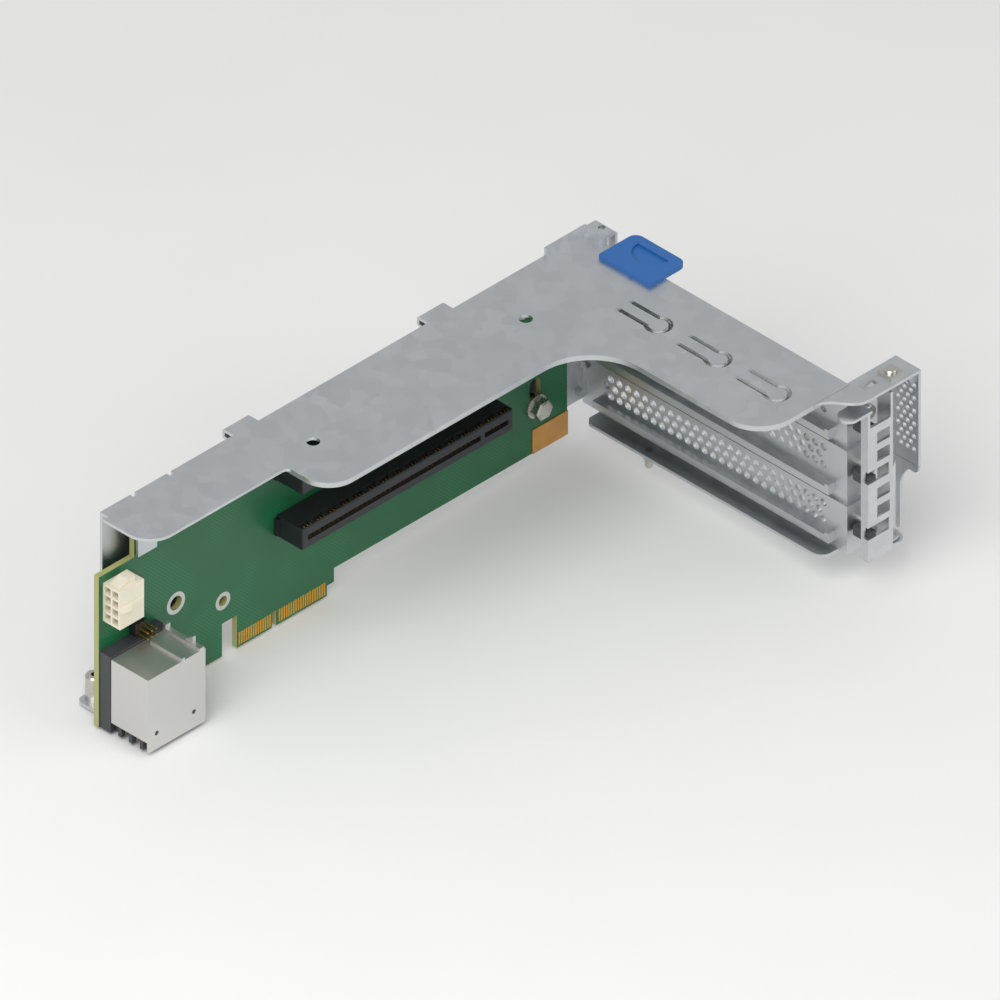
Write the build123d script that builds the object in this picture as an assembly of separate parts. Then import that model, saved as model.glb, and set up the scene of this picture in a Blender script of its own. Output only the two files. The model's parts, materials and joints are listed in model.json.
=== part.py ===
"""A server riser card in its cage, in millimetres.

A riser board stands along the long leg of an L-shaped cage that is folded from one steel
sheet. Two x16 slots face the space that the cage covers, and the short leg of the cage is
the rear panel, with three slot covers and a hinged card retainer at its end.

The origin is at the middle of the board's card edge, on its bottom face. +X runs along the
board to the rear panel, +Y from the board to the cage's back wall, and +Z up to the top plate.
Places on the cage are given along it from its open end, out from the outside of its back
wall, and down from the top of its top plate.
"""
import os

from build123d import *

# Sheet metal and board
sheet = 1.0
fit_gap = 0.3
board_thick = 2.0
board_gap = 3.0
plate_height = 72.8
edge_middle = 71.0

# Cage
cage_length = 205.4
narrow_depth = 23.2
wide_depth = 40.7
wide_start = 56.1
arm_width = 38.0
arm_inner = cage_length - arm_width
arm_reach = 112.0
open_corner_radius = 9.0
step_corner_radius = 10.0
step_root_radius = 2.0
arm_root_radius = 20.0
arm_tip_radius = 12.5
end_jog = 2.0
end_jog_depth = 3.5
rim_drop = 0.8
wall_drop = 59.3
leg_length = 14.0
panel_drop = 61.8
floor_start = 8.2
floor_end_margin = 3.1
floor_end = arm_reach - floor_end_margin
floor_width = 7.6
floor_corner = 2.0
plate_hole_radius = 2.15
plate_hole_depth = 19.3
plate_hole_first = 71.0
plate_hole_spacing = 90.0

# Lanced spring tongues in the top plate
tongue_count = 3
tongue_pitch = 25.1
tongue_first_out = 49.6
tongue_margin = 18.5
tongue_along = cage_length - tongue_margin
tongue_length = 14.7
tongue_half_width = 2.0
tongue_head_radius = 3.0
lance_width = 1.5

# Hooks, relief notches, board tab and corner lug
hook_offset = 0.4
hook_margin = 66.5
hook_starts = (wide_start + hook_offset, cage_length - hook_margin)
hook_length = 10.6
hook_reach = 4.7
hook_curl = 3.4
hook_bend = 0.9
notch_starts = (12.7, 28.2)
notch_width = 1.8
notch_depth = 1.5
tab_start = 9.0
tab_width = 8.0
tab_drop = 17.6
tab_gap = 0.2
rim_length = 17.4
rim_start = cage_length - rim_length
rim_rise = 3.0
rim_return = 7.0
lug_start = 0.8
lug_width = 8.4
lug_reach = 4.6
lug_drop = 7.0
lug_hole_radius = 1.2
lug_hole_set_back = 0.1
lug_bend_radius = 1.6

# Board outline and holes
board_start = -6.5
board_end_margin = 13.6
board_end = cage_length - board_end_margin
board_shelf_drop = 17.8
board_shelf_end = 8.5
edge_start = 52.0
edge_end = 90.1
key_notch_start = 45.7
key_notch_drop = 60.9
key_slit_middle = 67.7
key_slit_width = 1.8
key_slit_height = 5.5
step_lift = 3.7
step_run = 3.0
board_lift = 8.7
large_hole = (26.2, 43.5, 2.45)
small_hole = (46.1, 52.7, 1.7)
finger_pitch = 1.0
finger_width = 0.7
finger_height = 4.6
finger_thick = 0.06
finger_lift = 0.7
finger_clearance = 0.1

# Screws that hold the board
screw_drop = 9.0
screw_margin = 19.8
screw_places = ((36.0, screw_drop), (board_end - screw_margin, screw_drop))
screw_radius = 1.45
screw_clearance = 0.05
screw_head_radius = 2.8
screw_head_height = 1.8
screw_chamfer = 0.4
screw_tip = 0.5
standoff_radius = 2.9
socket_radius = 1.1
socket_depth = 1.0
shoulder_margin = 13.6
shoulder_along = board_end - shoulder_margin
shoulder_drop = 46.9
shoulder_radius = 2.0
shoulder_flange_radius = 4.0
shoulder_flange = 1.0
hex_across = 6.0
hex_height = 3.6
hex_chamfer = 0.5
keyhole_rise = 7.5
keyhole_radius = 2.3

# x16 slots
slot_margin = 123.0
slot_along = board_end - slot_margin
slot_length = 89.0
slot_height = 11.25
slot_width = 7.5
slot_drop = 36.25
slot_pitch = 20.32
slot_base = 1.4
slot_base_overhang = 1.2
slot_base_inset = 0.8
slot_chamfer = 0.4
card_gap = 1.8
card_gap_depth = 8.2
card_gap_margin = 2.1
key_from_end = 12.9
key_width = 1.8
window_count = 16
window_width = 4.1
window_depth = 3.0
window_height = 1.2
window_margin = 0.8
contact_pitch = 2.0
contact_width = 0.8
contact_thick = 0.3
contact_sink = 1.2
contact_clearance = 0.2

# Power header
header_start = -4.7
header_length = 10.8
header_drop = 20.7
header_height = 13.8
header_depth = 7.2
header_wall = 0.8
header_cell_depth = 8.0
header_rows = 4
header_columns = 2
header_pin = 0.7
header_pin_sink = 1.5
header_chamfer = 0.6
ramp_width = 4.2
ramp_height = 1.5
ramp_start = 1.0
ramp_slope = 4.0
ramp_end = 8.0

# Board connector block
block_start = -5.6
block_length = 23.3
block_depth = 20.0
block_drop = 46.2
block_lift = 0.2
block_base = 4.7
block_base_rise = 1.2
block_base_overhang = 0.6
shell_thick = 0.5
shell_lift = 0.4
mouth_wall = 1.6
mouth_depth = 9.0
end_wall_lift = 4.0
peg_count = 3
peg_width = 1.4
peg_inset = 1.0
peg_pitch = 4.6
foot_width = 2.4
foot_inset = 0.6
foot_first = 4.2
foot_pitch = 6.8
foot_depth = 1.0
blade_count = 7
blade_thick = 0.5
blade_inset = 3.0
blade_length = 3.5
ridge_height = 0.9
ridge_width = 1.3
ridge_along = 13.8
ridge_gap = 2.2
strip_width = 2.0
upstand = 1.5
upstand_width = 1.2
gusset_length = 3.2
gusset_height = 2.0
shell_hole_radius = 0.8
shell_hole_drop = 6.2
shell_hole_margins = (3.2, 4.4)

# Guide at the board's lower corner
foot_start = -2.0
foot_length = 11.0
foot_reach = 8.2
foot_corner = 2.5
post_along = 2.8
post_out = 5.1
post_radius = 2.9
post_height = 8.4
post_bore = 1.1
post_chamfer = 0.5

# Slot covers
cover_count = 3
cover_top = 2.8
cover_height = 17.2
cover_start = 3.0
cover_taper = 4.0
cover_tab = 10.4
cover_notch_radius = 2.2
cover_notch_inset = 3.0
lip_depth = 3.0
lip_height = 2.5
lip_thick = 0.8
lip_lift = 0.2
lip_start = 8.0
lip_margin = 4.0
lip_end = arm_reach - lip_margin
lip_stop_width = 1.6
lip_stop_rise = 1.0
bottom_lip_lift = 2.8
panel_window_start = 12.0
panel_window_margin = 18.0
panel_window_end = arm_reach - panel_window_margin
panel_window_overlap = 0.9

# End bracket
bracket_length = 20.6
bracket_end = cage_length + bracket_length
bracket_depth = 9.6
bracket_out = arm_reach + bracket_depth
bracket_flange = 15.0
bracket_gap = 0.1
chassis_tab_drop = 35.1
waist_step = 4.0
bracket_waist = bracket_end - waist_step
waist_drop = 43.0
ogee_margin = 14.9
ogee_length = 13.5
ogee_start = cage_length - ogee_margin
ogee_end = ogee_start + ogee_length
slot_hole_set_back = 8.9
slot_hole_inset = 0.5
slot_hole_length = 5.6
slot_hole_width = 2.6
lug_ear_radius = 4.4
lug_ear_tail = 3.0
corner_gusset_inset = 2.0
corner_gusset_width = 3.4
corner_gusset_run = 3.2
corner_gusset_drop = 6.0
rivet_radius = 1.2
rivet_head_radius = 2.2
rivet_chamfer = 0.5
rivet_set_down = 1.5

# Card retainer and its pivots
pivot_margin = 7.6
pivot_along = bracket_end - pivot_margin
pivot_reach = 4.5
pivot_out = arm_reach + pivot_reach
pivot_radius = 1.4
pivot_clearance = 0.05
pivot_head_radius = 2.0
pivot_head_height = 0.9
pivot_chamfer = 0.3
pivot_pad = 5.7
pivot_pad_thick = 0.8
ear_radius = 2.6
retainer_sheet = 1.0
retainer_overlap = 1.8
retainer_start = cage_length - retainer_overlap
retainer_gap = 4.2
retainer_end = pivot_along - retainer_gap
retainer_top = 10.9
retainer_lift = 2.1
retainer_bottom = panel_drop - retainer_lift
retainer_return = 3.0
pivot_return = 5.6
pocket_first = 6.6
pocket_height = 4.4
pocket_rib = 1.8
hole_start = 3.8
hole_width = 5.5
hole_height = 4.1
hole_offsets = (7.3, 13.9)
thumb_drop = 3.9
thumb_length = 9.0
thumb_start = retainer_start - thumb_length
thumb_lip = 0.9
thumb_out = bracket_out + thumb_lip
thumb_width = 6.8
thumb_corner = 3.3
pad_length = 3.0
pad_height = 3.6
pad_round = 1.0
top_pad_shift = 1.9

# Screws that hold the covers' end tabs
cover_screw_radius = 1.3
cover_screw_head_radius = 2.6
cover_screw_head_height = 2.6
cover_screw_chamfer = 0.4
cover_screw_tip = 1.0

# Handle tab, floor pin and corner pad
handle_overlap = 6.9
handle_start = cage_length - handle_overlap
handle_length = 16.0
handle_out = 12.4
handle_width = 21.8
handle_thick = 1.4
handle_radius = 3.0
handle_corner = 0.6
moon_radius = 6.6
moon_margin = 3.4
moon_depth = 0.7
floor_pin_margin = 5.4
floor_pin_along = cage_length - floor_pin_margin
floor_pin_out = 32.4
floor_pin_radius = 1.7
floor_pin_shank = 1.2
floor_pin_drop = 3.0
floor_pin_nose = 0.7
floor_pin_undercut = 0.3
film_length = 14.9
film_start = board_end - film_length
film_rise = 8.7
film_thick = 0.4

# How far a cut runs past the face that it opens
cut_over = 1.0

back_face = board_thick / 2 + board_gap + sheet
cover_inner = cage_length - 2 * sheet
end_wall_out = arm_reach - sheet


def x_at(along):
    """X of a place measured along the cage from its open end."""
    return along - edge_middle


def y_at(out):
    """Y of a place measured out from the outside of the back wall."""
    return back_face - out


def z_at(drop):
    """Z of a place measured down from the top of the plate."""
    return plate_height - drop


def block(along, out, drop):
    """A box between two places along the cage, out from its wall and down from its top."""
    size = (along[1] - along[0], out[1] - out[0], drop[1] - drop[0])
    middle = (x_at(sum(along) / 2), y_at(sum(out) / 2), z_at(sum(drop) / 2))
    return Pos(*middle) * Box(*size)


def upright(along, out, drop, radius):
    """A vertical round bar between two drops."""
    middle = Pos(x_at(along), y_at(out), z_at(sum(drop) / 2))
    return middle * Cylinder(radius, drop[1] - drop[0])


def crosswise(along, out, drop, radius):
    """A round bar that runs out from the board between two distances."""
    middle = Pos(x_at(along), y_at(sum(out) / 2), z_at(drop))
    return middle * Rot(90, 0, 0) * Cylinder(radius, out[1] - out[0])


def lengthwise(along, out, drop, radius):
    """A round bar that runs along the cage between two places."""
    middle = Pos(x_at(sum(along) / 2), y_at(out), z_at(drop))
    return middle * Rot(0, 90, 0) * Cylinder(radius, along[1] - along[0])


def flat(points, radii, drop, thick):
    """A plate that lies flat, from outline points along and out, its top at a drop."""
    places = [(x_at(along), y_at(out)) for along, out in points]
    outline = make_face(FilletPolyline(*places, radius=radii, close=True))
    return Pos(0, 0, z_at(drop)) * extrude(outline, thick, dir=(0, 0, -1))


def standing(points, out, thick):
    """A plate that stands along the cage, from outline points along and down."""
    places = [(x_at(along), 0, z_at(drop)) for along, drop in points]
    outline = make_face(Polyline(*places, close=True))
    middle = extrude(outline, thick / 2, both=True)
    return Pos(0, y_at(out + thick / 2), 0) * middle


def across(points, along, thick):
    """A plate that stands across the cage, from outline points out and down."""
    places = [(0, y_at(out), z_at(drop)) for out, drop in points]
    outline = make_face(Polyline(*places, close=True))
    middle = extrude(outline, thick / 2, both=True)
    return Pos(x_at(along + thick / 2), 0, 0) * middle


board_front = back_face + board_thick / 2
board_back = board_front - board_thick
edge_drop = plate_height


def plate_outline(inset):
    """Outline points and radii of the top plate, drawn in from its edge by inset."""
    points = [
        (0 + inset, 0 + inset),
        (cage_length - inset, 0 + inset),
        (cage_length - inset, arm_reach - inset),
        (arm_inner + inset, arm_reach - inset),
        (arm_inner + inset, wide_depth - inset),
        (wide_start + inset, wide_depth - inset),
        (wide_start + inset, narrow_depth - inset),
        (inset - end_jog, narrow_depth - inset),
        (inset - end_jog, end_jog_depth + inset),
        (0 + inset, end_jog_depth + inset),
    ]
    radii = [
        0,
        0,
        0,
        arm_tip_radius - inset,
        arm_root_radius + inset,
        step_corner_radius - inset,
        step_root_radius + inset,
        open_corner_radius - inset,
        0,
        0,
    ]
    return points, radii


def tongue_lance(out):
    """The slit that frees one spring tongue: a keyhole outline, open at its root."""
    x, y = x_at(tongue_along), y_at(out)
    outer = Pos(x, y) * Circle(tongue_head_radius + lance_width)
    outer_half = tongue_half_width + lance_width
    outer += Pos(x, y + tongue_length / 2) * Rectangle(2 * outer_half, tongue_length)
    inner = Pos(x, y) * Circle(tongue_head_radius)
    inner += Pos(x, y + tongue_length / 2) * Rectangle(2 * tongue_half_width, tongue_length)
    return Pos(0, 0, z_at(2 * sheet)) * extrude(outer - inner, 3 * sheet)


def top_plate():
    """The L-shaped top with its turned rim, holes, lanced tongues and relief notches."""
    plate = flat(*plate_outline(0), 0, sheet)
    rim = flat(*plate_outline(0), sheet, rim_drop) - flat(*plate_outline(sheet), sheet, rim_drop)
    plate += rim & block((wide_start, cage_length - sheet), (narrow_depth, arm_reach),
                         (sheet, sheet + rim_drop))
    for hole in range(2):
        along = plate_hole_first + hole * plate_hole_spacing
        plate -= upright(along, plate_hole_depth, (-sheet, 2 * sheet), plate_hole_radius)
    for tongue in range(tongue_count):
        plate -= tongue_lance(tongue_first_out + tongue * tongue_pitch)
    for start in notch_starts:
        plate -= block((start, start + notch_width), (-sheet, notch_depth), (-sheet, 2 * sheet))
    return plate


def hook(start):
    """A tab that runs out over the back edge and curls down under itself."""
    span = (start, start + hook_length)
    tab = block(span, (-hook_reach, sheet), (0, sheet))
    tab += block(span, (-hook_reach, sheet - hook_reach), (0, hook_curl))
    tab += block(span, (-hook_reach, -sheet), (hook_curl - sheet, hook_curl))
    curl_edges = tab.edges().filter_by(Axis.X).sort_by(Axis.Y)[-2:]
    return fillet(curl_edges, hook_bend)


def back_wall():
    """The wall behind the board, with the leg that carries the guide foot."""
    wall = standing(
        [(0, 0), (cage_length, 0), (cage_length, wall_drop), (leg_length, wall_drop),
         (leg_length, edge_drop), (0, edge_drop)], 0, sheet)
    wall += block((rim_start, cage_length), (0, sheet), (-rim_rise, 0))
    wall += block((cage_length - sheet, cage_length), (0, rim_return), (-rim_rise, 0))
    for start in notch_starts:
        wall -= block((start, start + notch_width), (-sheet, notch_depth), (-sheet, 2 * sheet))
    return wall


def cover_span(number):
    """Drops of the top and the bottom of one slot cover."""
    top = cover_top + number * slot_pitch
    return top, top + cover_height


def rear_panel():
    """The short leg: a panel with one window for each cover, and a floor lip at its foot."""
    panel = block((cage_length - sheet, cage_length), (0, arm_reach), (0, panel_drop))
    for number in range(cover_count):
        top, bottom = cover_span(number)
        window = (top + panel_window_overlap, bottom - panel_window_overlap)
        panel -= block((cage_length - sheet - cut_over, cage_length + cut_over),
                       (panel_window_start, panel_window_end), window)
    near = cage_length - sheet - floor_width
    lip_points = [(near, floor_start + floor_corner), (near + floor_corner, floor_start),
                  (cage_length, floor_start), (cage_length, floor_end), (near, floor_end)]
    panel += flat(lip_points, [0, 0, 0, 0, 2 * floor_corner], panel_drop - sheet, sheet)
    pin_drop = (panel_drop - 2 * sheet, panel_drop + sheet)
    return panel - upright(floor_pin_along, floor_pin_out, pin_drop, floor_pin_shank)


def guide_foot():
    """The foot bent out from the back wall's leg."""
    far = foot_start + foot_length
    points = [(foot_start, sheet), (far, sheet), (far, -foot_reach), (foot_start, -foot_reach)]
    foot = flat(points, [0, 0, foot_corner, foot_corner], edge_drop - sheet, sheet)
    bore = (edge_drop - sheet - cut_over, edge_drop + cut_over)
    return foot - upright(post_along, -post_out, bore, post_bore)


def cage_frame():
    """Top plate, walls, rear panel, hooks, foot and board tab, folded from one sheet."""
    cage = top_plate() + back_wall() + rear_panel() + guide_foot()
    for start in hook_starts:
        cage += hook(start)
    tab_out = board_front + tab_gap
    cage += block((tab_start, tab_start + tab_width), (tab_out, tab_out + sheet), (0, tab_drop))
    return cage


def board_outline():
    """The riser board's outline, along and down, from its open end round by the top."""
    top = sheet + fit_gap
    return [
        (board_start, edge_drop), (board_start, board_shelf_drop),
        (board_shelf_end, board_shelf_drop), (board_shelf_end, top), (board_end, top),
        (board_end, edge_drop - board_lift), (edge_end + step_run, edge_drop - board_lift),
        (edge_end + step_run, edge_drop - step_lift), (edge_end, edge_drop - step_lift),
        (edge_end, edge_drop), (edge_start, edge_drop), (edge_start, key_notch_drop),
        (key_notch_start, key_notch_drop), (key_notch_start, edge_drop),
    ]


def riser_board():
    """The board, with its card edge, key slit, mounting holes and keyhole."""
    board = standing(board_outline(), board_back, board_thick)
    through = (board_back - cut_over, board_front + cut_over)
    slit = (key_slit_middle - key_slit_width / 2, key_slit_middle + key_slit_width / 2)
    board -= block(slit, through, (edge_drop - key_slit_height, edge_drop + cut_over))
    for along, drop, radius in (large_hole, small_hole):
        board -= crosswise(along, through, drop, radius)
    for along, drop in screw_places:
        board -= crosswise(along, through, drop, screw_radius + screw_clearance)
    board -= crosswise(shoulder_along, through, shoulder_drop, keyhole_radius)
    board -= crosswise(shoulder_along, through, shoulder_drop - keyhole_rise, keyhole_radius)
    slot = (shoulder_along - keyhole_radius, shoulder_along + keyhole_radius)
    board -= block(slot, through, (shoulder_drop - keyhole_rise, shoulder_drop))
    return board


def edge_contacts():
    """Gold pads on both faces of the card edge, left out at the key slit."""
    pads = []
    count = int((edge_end - edge_start) / finger_pitch) - 1
    for number in range(count):
        middle = edge_start + (number + 1) * finger_pitch
        if abs(middle - key_slit_middle) < (key_slit_width + finger_width) / 2 + finger_clearance:
            continue
        span = (middle - finger_width / 2, middle + finger_width / 2)
        drop = (edge_drop - finger_lift - finger_height, edge_drop - finger_lift)
        pads.append(block(span, (board_front, board_front + finger_thick), drop))
        pads.append(block(span, (board_back - finger_thick, board_back), drop))
    return pads


def slot_contact_places():
    """Middles of the contacts along one slot, left out at the key rib."""
    first = slot_along + card_gap_margin + contact_pitch
    key = slot_along + slot_length - key_from_end
    places = []
    middle = first
    while middle < slot_along + slot_length - card_gap_margin - contact_pitch / 2:
        if abs(middle - key) > (key_width + contact_width) / 2 + contact_clearance:
            places.append(middle)
        middle += contact_pitch
    return places


def slot_housing(drop):
    """One x16 slot: its body, base flange, card gap with a key rib, and contact windows."""
    end = slot_along + slot_length
    face = board_front + slot_height
    half = slot_width / 2
    body = block((slot_along, end), (board_front, face), (drop - half, drop + half))
    body = chamfer(body.faces().sort_by(Axis.Y)[0].edges(), slot_chamfer)
    body += block((slot_along - slot_base_overhang, end + slot_base_overhang),
                  (board_front, board_front + slot_base),
                  (drop - half + slot_base_inset, drop + half - slot_base_inset))
    key = end - key_from_end
    for span in ((slot_along + card_gap_margin, key - key_width / 2),
                 (key + key_width / 2, end - card_gap_margin)):
        body -= block(span, (face - card_gap_depth, face + cut_over),
                      (drop - card_gap / 2, drop + card_gap / 2))
    pitch = slot_length / window_count
    for number in range(window_count):
        middle = slot_along + (number + 0.5) * pitch
        body -= block((middle - window_width / 2, middle + window_width / 2),
                      (face - window_depth, face - window_margin),
                      (drop - half - cut_over, drop - half + window_height))
    return body


def slot_contacts(drop):
    """Spring contacts that stand in the card gap, on its two walls."""
    face = board_front + slot_height
    reach = (face - card_gap_depth, face - contact_sink)
    contacts = []
    for middle in slot_contact_places():
        span = (middle - contact_width / 2, middle + contact_width / 2)
        for edge in (drop - card_gap / 2, drop + card_gap / 2 - contact_thick):
            contacts.append(block(span, reach, (edge, edge + contact_thick)))
    return contacts


def header_cells():
    """Middles, out and down, of the power header's cells, and the size of a cell."""
    tall = (header_height - header_wall) / header_rows
    deep = (header_depth - header_wall) / header_columns
    for row in range(header_rows):
        for column in range(header_columns):
            out = board_front + header_wall / 2 + (column + 0.5) * deep
            yield out, header_drop + header_wall / 2 + (row + 0.5) * tall


def power_header_housing():
    """A right-angle header with two columns of cells that open at the board's end."""
    end = header_start + header_length
    body = block((header_start, end), (board_front, board_front + header_depth),
                 (header_drop, header_drop + header_height))
    body = chamfer(body.faces().sort_by(Axis.X)[-1].edges(), header_chamfer)
    tall = (header_height - header_wall) / header_rows - header_wall
    deep = (header_depth - header_wall) / header_columns - header_wall
    for out, drop in header_cells():
        body -= block((header_start - cut_over, header_start + header_cell_depth),
                      (out - deep / 2, out + deep / 2), (drop - tall / 2, drop + tall / 2))
    middle = board_front + header_depth / 2
    foot, tail = header_start + ramp_start, header_start + ramp_end
    ramp = standing([(foot, header_drop), (foot + ramp_slope, header_drop - ramp_height),
                     (tail, header_drop - ramp_height), (tail, header_drop)],
                    middle - ramp_width / 2, ramp_width)
    return body + ramp


def power_header_pins():
    """One square pin in each cell, from the cell's floor almost to its mouth."""
    floor = header_start + header_cell_depth
    half = header_pin / 2
    reach = (header_start + header_pin_sink, floor)
    return [block(reach, (out - half, out + half), (drop - half, drop + half))
            for out, drop in header_cells()]


def board_connector_housing():
    """The block that plugs down on to the system board, hollow at its foot."""
    end = block_start + block_length
    face = board_front + block_depth
    low = edge_drop - block_lift
    inner = board_front + block_base
    body = block((block_start, end), (board_front, face), (block_drop, low))
    body -= block((block_start + mouth_wall, end - mouth_wall),
                  (inner + mouth_wall, face - mouth_wall),
                  (edge_drop - mouth_depth, edge_drop + cut_over))
    end_wall = block((block_start - cut_over, block_start + mouth_wall), (inner, face),
                     (edge_drop - end_wall_lift, edge_drop + cut_over))
    for number in range(peg_count):
        near = inner + mouth_wall + peg_inset + number * peg_pitch
        end_wall -= block((block_start - cut_over, block_start + mouth_wall),
                          (near, near + peg_width), (block_drop, edge_drop + cut_over))
    body -= end_wall
    body += block((block_start - block_base_overhang, end), (board_front, inner),
                  (block_drop - block_base_rise, low))
    for number in range(peg_count):
        along = block_start + foot_first + number * foot_pitch
        body += block((along - foot_width / 2, along + foot_width / 2),
                      (board_front + foot_inset, inner - foot_inset), (low, edge_drop + foot_depth))
    return body


def board_connector_shell():
    """A folded steel cover over the block's top, end, face and far side."""
    end = block_start + block_length
    face = board_front + block_depth
    near = board_front + block_base + shell_lift / 2
    top = block_drop - shell_thick
    shell = block((block_start - shell_thick, end + shell_thick), (near, face + shell_thick),
                  (top, edge_drop - shell_lift))
    shell -= block((block_start, end), (near - cut_over, face), (block_drop, edge_drop))
    shell -= block((block_start - shell_thick - cut_over, block_start), (near - cut_over, face),
                   (edge_drop - end_wall_lift, edge_drop))
    ridge = block_start + ridge_along
    strip = end - strip_width
    for span, start in (((ridge, ridge + ridge_width), near + ridge_gap), ((strip, end), near)):
        shell += block(span, (start, face + shell_thick), (top - ridge_height, top))
    high = top - ridge_height
    shell += block((strip, end), (near, near + upstand_width), (high - upstand, high))
    far = face - gusset_length
    shell += across([(far - gusset_length, high), (far, high - gusset_height), (far, high)],
                    end - upstand_width, upstand_width)
    drop = edge_drop - shell_hole_drop
    for along in (block_start + shell_hole_margins[0], end - shell_hole_margins[1]):
        shell -= crosswise(along, (face, face + cut_over), drop, shell_hole_radius)
    return shell


def board_connector_pins():
    """The row of contact blades inside the block's mouth."""
    pitch = (block_length - 2 * mouth_wall) / blade_count
    roof = edge_drop - mouth_depth
    blades = []
    for number in range(blade_count):
        middle = block_start + mouth_wall + (number + 0.5) * pitch
        span = (middle - blade_thick / 2, middle + blade_thick / 2)
        reach = (board_front + block_base + blade_inset, board_front + block_depth - blade_inset)
        blades.append(block(span, reach, (roof, roof + blade_length)))
    return blades


def board_standoffs():
    """Spacers between the back wall and the board, on the axes of the three screws."""
    places = list(screw_places) + [(shoulder_along, shoulder_drop)]
    spacers = []
    for along, drop in places:
        spacer = crosswise(along, (sheet, board_back), drop, standoff_radius)
        bore = crosswise(along, (sheet, board_back), drop, screw_radius + screw_clearance)
        spacers.append(spacer - bore)
    return spacers


def board_screws():
    """Two socket-head screws through the board into their standoffs."""
    screws = []
    for along, drop in screw_places:
        top = board_front + screw_head_height
        screw = crosswise(along, (board_front, top), drop, screw_head_radius)
        screw = chamfer(screw.faces().sort_by(Axis.Y)[0].edges(), screw_chamfer)
        screw -= crosswise(along, (top - socket_depth, top + cut_over), drop, socket_radius)
        shank = (sheet + screw_tip, board_front)
        screws.append(screw + crosswise(along, shank, drop, screw_radius))
    return screws


def shoulder_screw():
    """The flanged hex screw in the board's keyhole."""
    flange = (board_front, board_front + shoulder_flange)
    screw = crosswise(shoulder_along, flange, shoulder_drop, shoulder_flange_radius)
    centre = Pos(x_at(shoulder_along), y_at(flange[1]), z_at(shoulder_drop)) * Rot(90, 0, 0)
    screw += centre * extrude(RegularPolygon(hex_across / 2, 6, major_radius=False), hex_height)
    screw = chamfer(screw.faces().sort_by(Axis.Y)[0].edges(), hex_chamfer)
    screw += crosswise(shoulder_along, (board_back, board_front), shoulder_drop, shoulder_radius)
    shank = (sheet + screw_tip, board_back)
    return screw + crosswise(shoulder_along, shank, shoulder_drop, screw_radius)


def cover_notch(number):
    """Middle, along and down, of the notch in one cover's end tab."""
    top, bottom = cover_span(number)
    return cover_inner + cover_tab - cover_notch_inset, (top + bottom) / 2


def slot_cover(number):
    """One cover: a tapered foot, a plate with a turned lip, and a notched end tab."""
    top, bottom = cover_span(number)
    end = arm_reach + sheet
    plate = across([(cover_start, top + cover_taper), (cover_start + cover_taper, top),
                    (end, top), (end, bottom), (cover_start + cover_taper, bottom),
                    (cover_start, bottom - cover_taper)], cover_inner, sheet)
    low = bottom - (bottom_lip_lift if number == cover_count - 1 else lip_lift)
    high = low - lip_height
    near = cover_inner - lip_depth
    lip = block((near, cover_inner), (lip_start, lip_end), (high, high + lip_thick))
    lip += block((near, near + lip_thick), (lip_start, lip_end), (high, low))
    lip += block((near, cover_inner), (lip_end - lip_stop_width, lip_end),
                 (high - lip_stop_rise, low))
    tab = block((cover_inner, cover_inner + cover_tab), (arm_reach, end), (top, bottom))
    along, middle = cover_notch(number)
    through = (arm_reach - cut_over, end + cut_over)
    notch = crosswise(along, through, middle, cover_notch_radius)
    notch += block((along, cover_inner + cover_tab + cut_over), through,
                   (middle - cover_notch_radius, middle + cover_notch_radius))
    return plate + lip + (tab - notch)


def cover_screws():
    """A screw through the notch of each cover's end tab, into the bracket's end wall."""
    screws = []
    seat = arm_reach + sheet
    for number in range(cover_count):
        along, drop = cover_notch(number)
        head = crosswise(along, (seat, seat + cover_screw_head_height), drop,
                         cover_screw_head_radius)
        head = chamfer(head.faces().sort_by(Axis.Y)[0].edges(), cover_screw_chamfer)
        shank = (end_wall_out - cover_screw_tip, seat)
        screws.append(head + crosswise(along, shank, drop, cover_screw_radius))
    return screws


def bracket_top():
    """The end bracket's top flange, with a swept edge that runs in to the plate's side."""
    near = arm_reach + bracket_gap
    start = (x_at(ogee_start), y_at(near))
    end = (x_at(ogee_end), y_at(bracket_out))
    mid_x = (start[0] + end[0]) / 2
    sweep = Bezier(start, (mid_x, start[1]), (mid_x, end[1]), end)
    far = x_at(bracket_end)
    inner = y_at(end_wall_out)
    side = x_at(cage_length + bracket_gap)
    rest = Polyline(end, (far, end[1]), (far, inner), (side, inner), (side, start[1]), start)
    plate = extrude(make_face([sweep, rest]), sheet, dir=(0, 0, -1))
    plate = Pos(0, 0, plate_height) * plate
    through = (-cut_over, sheet + cut_over)
    plate -= upright(pivot_along, pivot_out, through, pivot_radius + pivot_clearance)
    along, out = pivot_along - slot_hole_set_back, pivot_out - slot_hole_inset
    return plate - block((along - slot_hole_length / 2, along + slot_hole_length / 2),
                         (out - slot_hole_width / 2, out + slot_hole_width / 2), through)


def bracket_wall():
    """The end wall: full width at the top, a waist below, and the ear for the foot pivot."""
    bottom = panel_drop
    wall = standing([(cage_length, 0), (bracket_end, 0), (bracket_end, chassis_tab_drop),
                     (bracket_waist, waist_drop), (bracket_waist, bottom), (cage_length, bottom)],
                    end_wall_out, sheet)
    for number in range(cover_count):
        along, drop = cover_notch(number)
        wall -= crosswise(along, (end_wall_out - cut_over, arm_reach + cut_over), drop,
                          cover_screw_radius + screw_clearance)
    near = pivot_along - lug_ear_radius
    low = (retainer_bottom + fit_gap, retainer_bottom + fit_gap + sheet)
    ear = block((near, bracket_waist), (arm_reach, pivot_out), low)
    ear += upright(pivot_along, pivot_out, low, bracket_waist - pivot_along)
    ear += block((near, pivot_along), (pivot_out, pivot_out + lug_ear_tail), low)
    bore = (low[0] - cut_over, low[1] + cut_over)
    ear -= upright(pivot_along, pivot_out, bore, pivot_radius + pivot_clearance)
    return wall + ear


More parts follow.
